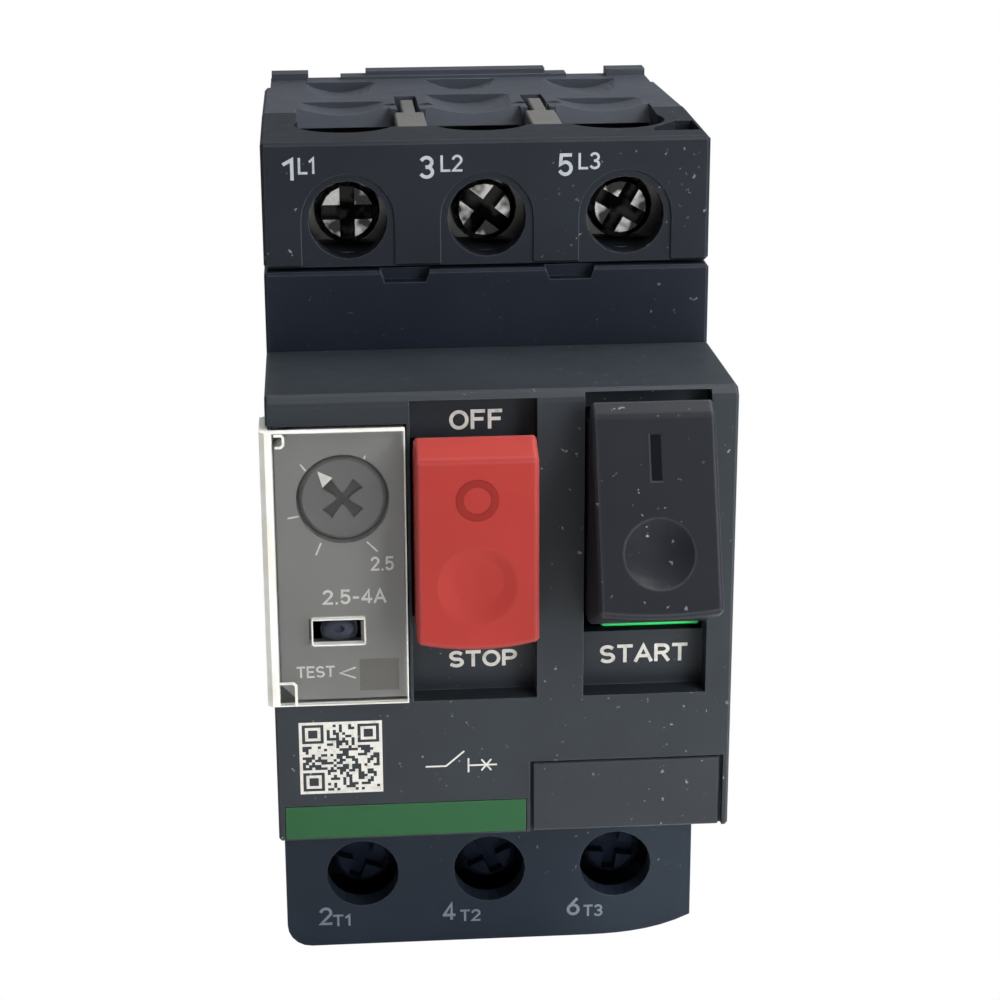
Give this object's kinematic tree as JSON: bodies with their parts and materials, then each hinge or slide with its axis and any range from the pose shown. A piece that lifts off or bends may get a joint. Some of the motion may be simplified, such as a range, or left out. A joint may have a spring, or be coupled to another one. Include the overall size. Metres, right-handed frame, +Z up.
{
  "type": "motor protection breaker",
  "caption": "Three pole motor protection breaker for a 35 mm rail: sloping start button, stop button, current dial under a clear lid, screw terminals above and below.",
  "frame": {"origin": "middle of the flat seat on the rear that rests on the 35 mm rail, on the rail's centre line", "axes": "+Y towards the rail and the panel behind, -Y out of the front with the buttons, +Z up to the supply terminals, +X to the right as seen from the front"},
  "size_m": [0.0451, 0.0781, 0.089],
  "materials": {
    "base_shell": "fine matt texture",
    "upper_shell": "fine matt texture",
    "lower_shell": "fine matt texture",
    "middle_shell": "fine matt texture",
    "nose_shell": "fine matt texture",
    "setting_plate": "satin",
    "dial": "satin",
    "clear_lid": "clear polished",
    "marker_plate": "satin",
    "stripe": "satin",
    "stop_button": "semi gloss",
    "start_button": "semi gloss",
    "state_flag": "semi gloss",
    "trip_slide": "semi gloss",
    "pole_key": "matt",
    "rail_latch": "matt",
    "plated_steel": "zinc plated",
    "frame_steel": "rolled sheet",
    "copper": "rolled copper alloy",
    "coil_wire": "enamelled",
    "bobbin": "moulded",
    "bimetal": "rolled strip",
    "lever": "moulded",
    "carrier": "moulded",
    "spring_steel": "drawn wire"
  },
  "bodies": {
    "housing": {"rear_base": "base_shell", "upper_terminal_cover": "upper_shell", "lower_terminal_cover": "lower_shell", "middle_housing": "middle_shell", "nose_cover": "nose_shell", "setting_plate": "setting_plate", "marker_plate": "marker_plate", "green_stripe": "stripe", "mechanism_frame": "frame_steel", "pivot_pin": "plated_steel", "pole_key_left": "pole_key", "pole_key_right": "pole_key", "stop_spring": "spring_steel", "latch_spring": "spring_steel", "line_terminal_1": "copper", "load_terminal_1": "copper", "load_contact_1": "copper", "arc_chute_1": "frame_steel", "coil_bobbin_1": "bobbin", "trip_coil_1": "coil_wire", "bimetal_1": "bimetal", "line_terminal_2": "copper", "load_terminal_2": "copper", "load_contact_2": "copper", "arc_chute_2": "frame_steel", "coil_bobbin_2": "bobbin", "trip_coil_2": "coil_wire", "bimetal_2": "bimetal", "line_terminal_3": "copper", "load_terminal_3": "copper", "load_contact_3": "copper", "arc_chute_3": "frame_steel", "coil_bobbin_3": "bobbin", "trip_coil_3": "coil_wire", "bimetal_3": "bimetal"},
    "start_actuator": {"start_button": "start_button", "state_flag": "state_flag"},
    "stop_actuator": {"stop_button": "stop_button"},
    "start_toggle": {"start_lever": "lever"},
    "release_toggle": {"release_lever": "lever"},
    "contact_bar": {"contact_carrier": "carrier", "moving_contact_1": "copper", "moving_contact_2": "copper", "moving_contact_3": "copper"},
    "setting_knob": {"current_dial": "dial"},
    "trip_bar": {"trip_slide": "trip_slide"},
    "lid": {"sealing_cover": "clear_lid"},
    "latch": {"rail_latch": "rail_latch"},
    "line_1_clamp_body": {"line_1_clamp": "plated_steel"},
    "line_1_screw_body": {"line_1_screw": "plated_steel"},
    "line_2_clamp_body": {"line_2_clamp": "plated_steel"},
    "line_2_screw_body": {"line_2_screw": "plated_steel"},
    "line_3_clamp_body": {"line_3_clamp": "plated_steel"},
    "line_3_screw_body": {"line_3_screw": "plated_steel"},
    "load_1_clamp_body": {"load_1_clamp": "plated_steel"},
    "load_1_screw_body": {"load_1_screw": "plated_steel"},
    "load_2_clamp_body": {"load_2_clamp": "plated_steel"},
    "load_2_screw_body": {"load_2_screw": "plated_steel"},
    "load_3_clamp_body": {"load_3_clamp": "plated_steel"},
    "load_3_screw_body": {"load_3_screw": "plated_steel"}
  },
  "joints": [
    {"name": "start_press", "type": "slide", "parent": "housing", "child": "start_actuator", "axis": [0, 1, 0], "range_m": [0, 0.004]},
    {"name": "contact_close", "type": "slide", "parent": "housing", "child": "contact_bar", "axis": [0, 1, 0], "range_m": [0, 0.0024]},
    {"name": "start_lever_swing", "type": "hinge", "parent": "housing", "child": "start_toggle", "pos_m": [0, -0.0369, -0.0025], "axis": [-1, 0, 0], "range_deg": [0, 14.01]},
    {"name": "stop_press", "type": "slide", "parent": "housing", "child": "stop_actuator", "axis": [0, 1, 0], "range_m": [0, 0.003], "stiffness_N_per_m": 300, "springref_m": -0.003, "deforming": ["stop_spring"]},
    {"name": "release_lever_swing", "type": "hinge", "parent": "housing", "child": "release_toggle", "pos_m": [0, -0.0369, -0.0025], "axis": [-1, 0, 0], "range_deg": [0, 11.7]},
    {"name": "dial_turn", "type": "hinge", "parent": "housing", "child": "setting_knob", "pos_m": [-0.0152, -0.0596, 0.0144], "axis": [0, -1, 0], "range_deg": [0, 180]},
    {"name": "test_push", "type": "slide", "parent": "housing", "child": "trip_bar", "axis": [-1, 0, 0], "range_m": [0, 0.0008], "stiffness_N_per_m": 200, "springref_m": -0.002},
    {"name": "lid_open", "type": "hinge", "parent": "housing", "child": "lid", "pos_m": [-0.0215, -0.0556, 0.0077], "axis": [0, 0, -1], "range_deg": [0, 100]},
    {"name": "latch_pull", "type": "slide", "parent": "housing", "child": "latch", "axis": [0, 0, -1], "range_m": [0, 0.004], "stiffness_N_per_m": 800, "springref_m": -0.004, "deforming": ["latch_spring"]},
    {"name": "line_1_clamp_slide", "type": "slide", "parent": "housing", "child": "line_1_clamp_body", "axis": [0, 1, 0], "range_m": [0, 0.0034]},
    {"name": "line_1_screw_turn", "type": "hinge", "parent": "line_1_clamp_body", "child": "line_1_screw_body", "pos_m": [-0.0138, -0.0356, 0.03665], "axis": [0, 1, 0], "range_deg": [0, 1748.6]},
    {"name": "line_2_clamp_slide", "type": "slide", "parent": "housing", "child": "line_2_clamp_body", "axis": [0, 1, 0], "range_m": [0, 0.0034]},
    {"name": "line_2_screw_turn", "type": "hinge", "parent": "line_2_clamp_body", "child": "line_2_screw_body", "pos_m": [0, -0.0356, 0.03665], "axis": [0, 1, 0], "range_deg": [0, 1748.6]},
    {"name": "line_3_clamp_slide", "type": "slide", "parent": "housing", "child": "line_3_clamp_body", "axis": [0, 1, 0], "range_m": [0, 0.0034]},
    {"name": "line_3_screw_turn", "type": "hinge", "parent": "line_3_clamp_body", "child": "line_3_screw_body", "pos_m": [0.0138, -0.0356, 0.03665], "axis": [0, 1, 0], "range_deg": [0, 1748.6]},
    {"name": "load_1_clamp_slide", "type": "slide", "parent": "housing", "child": "load_1_clamp_body", "axis": [0, 1, 0], "range_m": [0, 0.0034]},
    {"name": "load_1_screw_turn", "type": "hinge", "parent": "load_1_clamp_body", "child": "load_1_screw_body", "pos_m": [-0.0138, -0.0339, -0.0359], "axis": [0, 1, 0], "range_deg": [0, 1748.6]},
    {"name": "load_2_clamp_slide", "type": "slide", "parent": "housing", "child": "load_2_clamp_body", "axis": [0, 1, 0], "range_m": [0, 0.0034]},
    {"name": "load_2_screw_turn", "type": "hinge", "parent": "load_2_clamp_body", "child": "load_2_screw_body", "pos_m": [0, -0.0339, -0.0359], "axis": [0, 1, 0], "range_deg": [0, 1748.6]},
    {"name": "load_3_clamp_slide", "type": "slide", "parent": "housing", "child": "load_3_clamp_body", "axis": [0, 1, 0], "range_m": [0, 0.0034]},
    {"name": "load_3_screw_turn", "type": "hinge", "parent": "load_3_clamp_body", "child": "load_3_screw_body", "pos_m": [0.0138, -0.0339, -0.0359], "axis": [0, 1, 0], "range_deg": [0, 1748.6]}
  ],
  "couplings": [
    {"joint": "contact_close", "follows": "start_press", "ratio": 0.6},
    {"joint": "start_lever_swing", "follows": "start_press", "rad_per_m": 61.087},
    {"joint": "release_lever_swing", "follows": "stop_press", "rad_per_m": 68},
    {"joint": "line_1_screw_turn", "follows": "line_1_clamp_slide", "rad_per_m": 8976},
    {"joint": "line_2_screw_turn", "follows": "line_2_clamp_slide", "rad_per_m": 8976},
    {"joint": "line_3_screw_turn", "follows": "line_3_clamp_slide", "rad_per_m": 8976},
    {"joint": "load_1_screw_turn", "follows": "load_1_clamp_slide", "rad_per_m": 8976},
    {"joint": "load_2_screw_turn", "follows": "load_2_clamp_slide", "rad_per_m": 8976},
    {"joint": "load_3_screw_turn", "follows": "load_3_clamp_slide", "rad_per_m": 8976}
  ]
}
